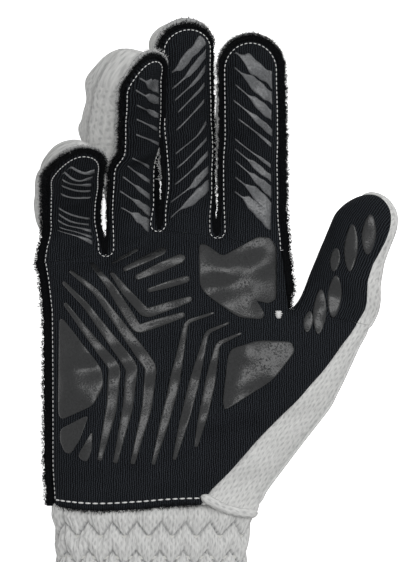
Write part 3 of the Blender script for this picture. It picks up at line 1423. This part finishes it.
def add_side_rolls():
    """The turned seam where the white side meets the back, from the wrist round the thumb's tip."""
    v = np.linspace(0.01, 1, 160)
    line = palm_point(np.ones_like(v), v)
    line[:, 2] -= SIDE_ROLL
    add_roll("thumb_side_seam", line, SIDE_ROLL, "hand")
    thumb = by_name["thumb"]
    y = np.linspace(thumb.feet[1][1] - 1.5 * MM, SPLIT + 1 * MM, 40)
    base = front_point(thumb, thumb.half_at(1, y), y, -SIDE_ROLL)
    add_roll("thumb_base_seam", base, SIDE_ROLL, bend_span(thumb, "base"))
    track = Track(thumb)
    x, y = track.at(1.0)
    tip = front_point(thumb, x, y, -SIDE_ROLL)[track.turn > 0.3 * math.pi][::-1]
    add_roll("thumb_tip_seam", tip, SIDE_ROLL, bend_span(thumb, "tip"))


add_side_rolls()


def add_flap():
    """The turned edge of the white side panel, which lies over the wrist."""
    u = np.linspace(BLACK_FROM_SHARE, FLAP_TO, 60)
    line = palm_point(u, np.full_like(u, FLAP_UP))
    share = np.linspace(0, 1, len(u))
    line[:, 1] += flap_drop(share) - FLAP_LOWER
    line[:, 2] += mix(FLAP_STEP, 0.0, share)
    add_roll("thumb_side_flap", line, FLAP_ROLL, "hand")


add_flap()


# Wrist and cuff

SMOCK_ROW = 12 * MM
SMOCK_PITCH = 11.1 * MM
SMOCK_SHIFT = 0.42  # of a pitch
SMOCK_RISE = 6.5 * MM
SMOCK_TOP = 6.4 * MM  # below the palm's edge
CREASE_DEEP = 2.5 * MM
CREASE_WIDE = 0.42 * MM
PUFF_WIDE = 3.2 * MM
SMOCK_ROWS = 6
SMOCK_DEPTHS = (0.45, 0.55)  # shares of the depth that creases and puffs take
PLEAT_DEEP = 0.3 * MM
PLEATS = 5  # to each zigzag
PLEAT_DARK = 0.25
TUBE_TURNS = 560


def cuff_point(turn, y, inset=0.0):
    rows = np.array(CUFF_SHARES)
    share = y / CUFF_END
    half = np.interp(share, rows[:, 0], rows[:, 1]) * PALM_WIDTH - inset
    centre = np.interp(share, rows[:, 0], rows[:, 2]) * PALM_WIDTH
    c, s = np.cos(turn), np.sin(turn)
    tall = np.where(s < 0, CUFF_DEPTH, CUFF_RISE) - inset
    x = centre + half * np.sign(c) * np.abs(c) ** (2 / CUFF_POWER)
    z = SEAM_HEIGHT + np.sign(s) * tall * np.abs(s) ** (2 / CUFF_POWER)
    return np.stack(np.broadcast_arrays(x, y + 0 * x, np.maximum(z, np.maximum(inset, 0))), -1) + ORIGIN


def smocking(along, y):
    """How far the gathered cloth is drawn in, and its creases: zigzag rows, with soft puffs between."""
    share = (along / SMOCK_PITCH + SMOCK_SHIFT) % 1
    zig = np.abs(share - 0.5) * 2 * SMOCK_RISE
    slope = math.cos(math.atan(2 * SMOCK_RISE / SMOCK_PITCH))
    crease = np.zeros(np.broadcast(along, y).shape)
    puff = np.zeros_like(crease)
    for row in range(SMOCK_ROWS):
        away = (y + SMOCK_TOP + row * SMOCK_ROW + zig) * slope
        crease = np.maximum(crease, np.exp(-((away / CREASE_WIDE) ** 2)))
        puff = np.maximum(puff, np.exp(-((away / PUFF_WIDE) ** 2)))
    fine = 0.5 + 0.5 * np.sin(along * 2 * math.pi / (SMOCK_PITCH / PLEATS) + 1.2 * np.sin(y / MM * 0.5))
    pleat = PLEAT_DEEP * fine * (1 - crease)
    drawn_in = CREASE_DEEP * (SMOCK_DEPTHS[0] * crease + SMOCK_DEPTHS[1] * puff) + pleat
    return drawn_in, crease + PLEAT_DARK * fine * puff


SIDE_SEAM_TURN = math.radians(152)
SIDE_SEAM_WIDE = 0.6 * MM
SIDE_SEAM_DEEP = 2.0 * MM
SIDE_SEAM_DARK = 0.6


def add_tube(name, lengths, relief, thickness):
    fine = np.linspace(0, 2 * math.pi, 4 * TUBE_TURNS + 1)
    run = run_along(cuff_point(fine, lengths[0]))
    turns = np.interp(np.linspace(0, run[-1], TUBE_TURNS + 1)[:-1], run, fine)
    turn, y = np.meshgrid(turns, lengths)
    outer = cuff_point(turn, y)
    girth = run_along(outer[0])
    along = np.broadcast_to(girth[None, :], y.shape)
    seam_at = np.interp(SIDE_SEAM_TURN, turns, girth)
    seam = np.exp(-(((along - seam_at) / SIDE_SEAM_WIDE) ** 2))
    drawn_in, creased = relief(along, y, turn)
    points = cuff_point(turn, y, drawn_in * (1 - 0.5 * seam) + SIDE_SEAM_DEEP * seam)
    shaded = np.clip(creased + SIDE_SEAM_DARK * seam, 0, 1) * MM
    cloth = np.stack([along, y, shaded], -1) / MM
    middle = points.reshape(-1, 3).mean(axis=0)
    outward = lambda p: Vector((p.x - middle[0], 0, p.z - middle[2]))
    return thicken(add_grid(name, points, cloth, WHITE, outward, wrap=True), thickness)


WRIST_CLOTH = 0.8 * CLOTH
WRIST_FROM = 4 * MM  # how far up under the palm the gathers go
BEND_FROM = -1.5 * MM
# How the gathers tuck under the palm: depth, from how far below its edge, over what length
TUCKS = ((1.3 * MM, 4.5 * MM, 3 * MM), (4 * MM, 1.5 * MM, 4.5 * MM))
TUCK_AT_BACK = 0.45  # as a share of that at the palm
CUFF_SMOOTHS = 9 * MM  # length over which the gathers run out into the cuff
HEM_IN = 0.6 * MM
HEM_CLOTH = 2 * MM
HEM_ROUND = 0.5 * MM


def add_wrist():

    def tucked(along, y, turn):
        drawn_in, creased = smocking(along, y)
        under = sum(deep * ease((y + start) / over) for deep, start, over in TUCKS)
        return drawn_in + under * mix(TUCK_AT_BACK, 1.0, np.sqrt(np.maximum(np.sin(turn), 0))), creased

    wrist = add_tube("wrist_cloth", np.linspace(WRIST_FROM, GATHERS_TO, 120), tucked, WRIST_CLOTH)
    ends = [tuple(cuff_point(np.array(QUARTER), np.array(y)) * [1, 1, 0.5]) for y in (BEND_FROM, GATHERS_TO)]
    dress(wrist, "white_knit", ("hand", "cuff", *ends), "wrist_gathers")

    def plain(along, y, turn):
        drawn_in, creased = smocking(along, y)
        gathered = ease(1 + (y - GATHERS_TO) / CUFF_SMOOTHS)
        return mix(0.3 * MM * (1 + np.sin(along / MM * 0.3)), drawn_in, gathered), creased * gathered

    cuff = add_tube("cuff_cloth", np.linspace(GATHERS_TO, CUFF_END, 70), plain, WRIST_CLOTH)
    dress(cuff, "white_knit", "cuff", "cuff_palm_side", "cuff_back")

    def rolled(along, y, turn):
        return HEM_ROUND * (1 - np.sin(np.clip((CUFF_END - y) / HEM_WIDTH, 0, 1) * math.pi)), 0 * y

    hem = add_tube("hem_cloth", CUFF_END + np.linspace(HEM_IN, -HEM_WIDTH, 14), rolled, HEM_CLOTH)
    dress(hem, "hem_binding", "cuff", "cuff_hem")
    for place in ("upper", "middle", "lower"):
        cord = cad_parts[f"wrist_elastic_{place}"].data
        cord.materials.clear()
        cord.materials.append(RUBBER)


add_wrist()


# Silicone print on the palm

PAD_SHARES = {
    "index_base_grip": (
        (0.65, 1.0), (0.675, 1.005), (0.75, 0.955), (0.83, 0.995), (0.9, 1.03), (0.95, 1.025), (0.98, 0.99),
        (0.98, 0.79), (0.945, 0.772), (0.885, 0.785), (0.93, 0.735), (0.915, 0.712), (0.815, 0.72),
        (0.655, 0.825),
    ),
    "thenar_grip": (
        (0.775, 0.6), (0.9, 0.635), (1.04, 0.63), (1.055, 0.59), (0.96, 0.48), (0.76, 0.365), (0.75, 0.4),
    ),
    "heel_grip_large": (
        (0.065, 0.715), (0.085, 0.715), (0.245, 0.53), (0.255, 0.46), (0.21, 0.385), (0.078, 0.33),
        (0.06, 0.35),
    ),
    "heel_grip_middle": (
        (0.195, 0.355), (0.155, 0.255), (0.115, 0.2), (0.09, 0.205), (0.068, 0.25), (0.07, 0.295),
    ),
    "heel_grip_small": ((0.208, 0.295), (0.205, 0.215), (0.185, 0.172), (0.16, 0.178), (0.145, 0.195)),
}
# Bars from the edge below the little finger: start, bend and end
LITTLE_SIDE_BARS = (
    ((0.085, 0.78), (0.19, 0.655), (0.3, 0.53), (0.288, 0.38), (0.235, 0.17)),
    ((0.078, 0.86), (0.18, 0.765), (0.372, 0.53), (0.355, 0.38), (0.3, 0.16)),
    ((0.105, 0.905), (0.22, 0.82), (0.452, 0.53), (0.435, 0.38), (0.372, 0.155)),
)
CHEVRONS = (
    ((0.195, 0.935), (0.285, 0.835), (0.395, 0.675), (0.6, 0.735)),
    ((0.278, 0.9), (0.35, 0.815), (0.43, 0.735), (0.63, 0.795)),
)
# Bars from the index finger's side down to the wrist
INDEX_SIDE_BARS = (
    ((0.722, 0.741), (0.6, 0.703), (0.54, 0.43), (0.458, 0.153)),
    ((0.785, 0.703), (0.685, 0.664), (0.62, 0.43), (0.546, 0.172)),
    ((0.836, 0.664), (0.73, 0.62), (0.69, 0.43), (0.638, 0.221)),
)
STRIPES = (
    ((0.281, 0.924), (0.403, 0.985)), ((0.33, 0.898), (0.52, 0.983)), ((0.38, 0.868), (0.6, 0.955)),
    ((0.43, 0.82), (0.62, 0.872)),
)
STRIPE_WIDTHS = (1.6 * MM, 3.4 * MM, 4.2 * MM, 3.2 * MM)
# Bars and their widths, spread evenly along each bar
BARS = (
    (LITTLE_SIDE_BARS, (1.6 * MM, 3.4 * MM, 5.4 * MM, 4.4 * MM, 2.0 * MM)),
    (CHEVRONS, (1.6 * MM, 3.6 * MM, 4.4 * MM, 4.0 * MM, 2.6 * MM)),
    (INDEX_SIDE_BARS, (1.0 * MM, 2.6 * MM, 4.6 * MM, 4.0 * MM, 1.6 * MM)),
)
BAR_STEP = 1.1 * MM
CORNER_ROUND = 1.8 * MM
BAR_END = 30  # how soon a bar reaches its full height

ABOVE = 0.08  # where the rays that look for the cloth start, clear of the glove
RAY_APART = 0.12 * MM  # three rays, so that none falls between two pieces


def surface_tree(names):
    verts = []
    faces = []
    for name in names:
        mesh = bpy.data.objects[name].data
        faces += [tuple(i + len(verts) for i in face.vertices) for face in mesh.polygons]
        verts += [vert.co.copy() for vert in mesh.vertices]
    return BVHTree.FromPolygons(verts, faces)


palm_tree = surface_tree(
    ["palm_cloth", *(f"{finger.name}_base_front_cloth" for finger in fingers), "thumb_tip_front_cloth"]
)


def on_palm(x, y, lift):
    """Points on the palm side of the hand above plan positions."""
    x, y, lift = np.broadcast_arrays(x + ORIGIN[0], y + ORIGIN[1], lift)
    points = np.stack([x, y, np.full_like(x, SEAM_HEIGHT)], -1)
    for k in np.ndindex(x.shape):
        for near in (-RAY_APART, 0, RAY_APART):
            hit = palm_tree.ray_cast(Vector((x[k], y[k] + near, ABOVE)), Vector((0, 0, -1)))[0]
            if hit is not None:
                points[k][2] = max(points[k][2], hit.z)
    points[..., 2] += lift
    return points


def add_bar(batch, route, widths):
    """A raised bar along a bent route on the palm."""
    route = np.array(route, float) * PALM_SIZE
    run = run_along(route)
    t = np.linspace(0, run[-1], max(int(run[-1] / BAR_STEP), 8))
    offsets = (-CORNER_ROUND, -CORNER_ROUND / 2, 0, CORNER_ROUND / 2, CORNER_ROUND)
    line = sum(at_run(route, run, t + offset) for offset in offsets) / len(offsets)
    way = unit(np.gradient(line, axis=0))
    share = t / run[-1]
    half = np.interp(share, np.linspace(0, 1, len(widths)), widths) / 2
    half *= np.clip(np.minimum(share, 1 - share) * run[-1] / half, 0.25, 1)
    x = line[:, 0:1] - way[:, 1:2] * PRINT_ACROSS * half[:, None]
    y = line[:, 1:2] + way[:, 0:1] * PRINT_ACROSS * half[:, None]
    ends = np.clip(np.minimum(share, 1 - share) * BAR_END, 0, 1)[:, None] ** 0.5
    top = on_palm(x, y, PRINT_LIFT + PRINT_HIGH * PRINT_CROWN * ends)
    bottom = on_palm(x, y, -PRINT_SUNK)
    batch.add(*closed_patch(top, bottom))


PAD_STEP = 0.8 * MM


CORNER_PULL = 0.22  # how much of each side a rounded corner takes
CORNER_STEPS = 5


def rounded_outline(shares):
    """A closed outline with its corners rounded."""
    points = np.array(shares) * PALM_SIZE
    line = []
    for k in range(len(points)):
        before, here, after = points[k - 1], points[k], points[(k + 1) % len(points)]
        a, b, c = (mix(p, q, CORNER_PULL) for p, q in ((here, before), (here, after), (after, here)))
        for t in np.linspace(0, 1, CORNER_STEPS):
            line.append((1 - t) ** 2 * a + 2 * t * (1 - t) * here + t * t * b)
        for t in np.linspace(0, 1, CORNER_STEPS)[1:-1]:
            line.append(mix(b, c, t))
    line = np.array([*line, line[0]])
    run = run_along(line)
    return at_run(line, run, np.linspace(0, run[-1], int(run[-1] / PAD_STEP))[:-1])


PAD_RINGS = np.array([1.0, 0.99, 0.97, 0.93, 0.85, 0.75, 0.65, 0.55, 0.45, 0.35, 0.25, 0.15, 0.05])
PAD_CROWN = np.array([0.0, 0.6, 0.9, 1, 1, 1, 1, 1, 1, 1, 1, 1, 1])


def add_pad(name, shares):
    """A raised pad inside an outline: rings that shrink towards its middle."""
    outline = rounded_outline(shares)
    centre = outline.mean(axis=0)
    x = centre[0] + (outline[:, 0] - centre[0]) * PAD_RINGS[:, None]
    y = centre[1] + (outline[:, 1] - centre[1]) * PAD_RINGS[:, None]
    size, rings = len(outline), len(PAD_RINGS)
    layer = rings * size + 1
    verts, faces = [], []
    for number, lift in enumerate((PRINT_LIFT + PRINT_HIGH * PAD_CROWN, -PRINT_SUNK * np.ones(rings))):
        points = on_palm(x, y, lift[:, None])
        verts += [points.reshape(-1, 3), on_palm(*centre, lift[-1]).reshape(-1, 3)]
        foot = number * layer
        inner, middle = foot + (rings - 1) * size, foot + layer - 1
        sheet = grid_faces(rings, size, wrap=True, start=foot)
        sheet += [(inner + i, inner + (i + 1) % size, middle) for i in range(size)]
        faces += [tuple(reversed(face)) for face in sheet] if number else sheet
    faces += [(layer + j, layer + (j + 1) % size, (j + 1) % size, j) for j in range(size)]
    batch = Batch()
    batch.add(np.concatenate(verts), faces)
    dress(batch.build(f"{name}_pad", SILICONE), "silicone", "hand", name)


# Thumb pads: place as shares of the palm, width and length
THUMB_PADS = (
    ("base", 1.11, 0.705, 4.2 * MM, 9 * MM), ("base", 1.158, 0.742, 5.8 * MM, 19 * MM),
    ("base", 1.22, 0.8, 6 * MM, 18 * MM), ("tip", 1.222, 0.94, 4.4 * MM, 10 * MM),
    ("tip", 1.288, 0.985, 5.8 * MM, 20 * MM), ("tip", 1.362, 1.035, 6 * MM, 17 * MM),
)


def add_thumb_pads():
    made = {"base": Batch(), "tip": Batch()}
    t = np.linspace(-1, 1, 2 * STRIP_STEPS)[:, None]
    for zone, across, up, width, length in THUMB_PADS:
        half = width / 2 * np.clip(1 - np.abs(t) ** 1.7, 0, 1) ** 0.6 + 0.05 * MM
        x = across * PALM_WIDTH + PRINT_ACROSS * half + 0.6 * MM * t
        y = up * PALM_LENGTH + t * length / 2 + 0 * x
        ends = np.clip((1 - np.abs(t)) * END_ROUND, 0, 1) ** 0.5
        top = on_palm(x, y, PRINT_LIFT + PRINT_HIGH * PRINT_CROWN * ends)
        made[zone].add(*closed_patch(top, on_palm(x, y, -PRINT_SUNK)))
    build_print(by_name["thumb"], made, SILICONE)


def add_palm_print():
    add_thumb_pads()
    for name, shares in PAD_SHARES.items():
        add_pad(name, shares)
    batch = Batch()
    for routes, widths in BARS:
        for route in routes:
            add_bar(batch, route, widths)
    for route, width in zip(STRIPES, STRIPE_WIDTHS):
        add_bar(batch, route, (width * 0.6, width, width))
    dress(batch.build("palm_bars", SILICONE), "silicone", "hand")


add_palm_print()


TACK_SHARES = (0.985, 0.735)
TACK_LOOPS = 7
TACK_STITCH = {"length": 3.6 * MM, "gap": 0.0, "radius": 0.5 * MM}


def add_tack():
    """A few loops of thread that hold the web below the index finger."""
    batch = Batch()
    middle = on_palm(*(PALM_SIZE * TACK_SHARES), 0.0)
    for k in range(TACK_LOOPS):
        turn = k * math.pi / TACK_LOOPS
        way = np.array([1.0 * math.cos(turn), 1.7 * math.sin(turn), 0]) * 2 * MM
        t = np.linspace(-1, 1, 12)[:, None]
        line = middle + way * t + [0, 0, 1] * (1.1 * MM * (1 - t**2) + 0.2 * MM)
        add_stitches(batch, line, TACK_STITCH)
    dress(batch.build("web_tack", THREAD), "white_knit", "hand")


add_tack()


# Floor, light and camera

PIXEL = 0.42 * MM  # of the photo, on the glove
PHOTO_SIZE = (416, 562)
PHOTO_MIDDLE = np.array([69.0, 94.5]) * MM  # plan position of the photo's middle
GLOVE_HEIGHT = 20 * MM
CAMERA_HEIGHT = 1.5
SENSOR = 24.0
FLOOR_HALF = 3.0
FLOOR_COLOUR = (0.85, 0.85, 0.85, 1)
FLOOR_ROUGH = 0.9
WORLD_LEVEL = 0.28
# Name, place, size and power of each lamp
LAMPS = (("key", (0.75, 0.6, 0.9), 0.7, 4.1), ("overhead", (0.1, 0.25, 1.65), 1.0, 14.2))


def seen_directly(tree):
    """1 for the kinds of ray that see the plain white surroundings, otherwise 0."""
    path = tree.nodes.new("ShaderNodeLightPath")
    result = path.outputs["Is Camera Ray"]
    for socket in ("Is Glossy Ray", "Is Transmission Ray"):
        larger = tree.nodes.new("ShaderNodeMath")
        larger.operation = "MAXIMUM"
        tree.links.new(result, larger.inputs[0])
        tree.links.new(path.outputs[socket], larger.inputs[1])
        result = larger.outputs[0]
    return result


def floor_material():
    material = bpy.data.materials.new("floor")
    material.use_nodes = True
    tree = material.node_tree
    shader = tree.nodes["Principled BSDF"]
    shader.inputs["Base Color"].default_value = FLOOR_COLOUR
    shader.inputs["Roughness"].default_value = FLOOR_ROUGH
    shader.inputs["Emission Color"].default_value = (1, 1, 1, 1)
    tree.links.new(seen_directly(tree), shader.inputs["Emission Strength"])
    return material


def add_stage():
    h = FLOOR_HALF
    corners = [(-h, -h, 0), (h, -h, 0), (h, h, 0), (-h, h, 0)]
    add_object("floor", corners, [(0, 1, 2, 3)], floor_material())


def add_world():
    world = bpy.data.worlds.new("studio")
    bpy.context.scene.world = world
    world.use_nodes = True
    tree = world.node_tree
    background = tree.nodes["Background"]
    background.inputs["Color"].default_value = (1, 1, 1, 1)
    level = tree.nodes.new("ShaderNodeMapRange")
    level.inputs["To Min"].default_value = WORLD_LEVEL
    level.inputs["To Max"].default_value = 1.0
    tree.links.new(seen_directly(tree), level.inputs["Value"])
    tree.links.new(level.outputs[0], background.inputs["Strength"])


def add_lamp(name, place, size, power):
    data = bpy.data.lights.new(name, "AREA")
    data.energy = power
    data.size = size
    lamp = bpy.data.objects.new(name, data)
    lamp.location = place
    lamp.rotation_euler = (-Vector(place)).to_track_quat("-Z", "Y").to_euler()
    bpy.context.scene.collection.objects.link(lamp)


def add_camera():
    x, y = PHOTO_MIDDLE + ORIGIN[:2]
    data = bpy.data.cameras.new("camera")
    data.sensor_fit = "VERTICAL"
    data.sensor_height = SENSOR
    data.lens = SENSOR * CAMERA_HEIGHT / (PHOTO_SIZE[1] * PIXEL)
    camera = bpy.data.objects.new("camera", data)
    camera.location = (x, y, GLOVE_HEIGHT + CAMERA_HEIGHT)
    bpy.context.scene.collection.objects.link(camera)
    bpy.context.scene.camera = camera


add_stage()
add_world()
for lamp in LAMPS:
    add_lamp(*lamp)
add_camera()
bpy.context.scene.view_settings.view_transform = "Standard"
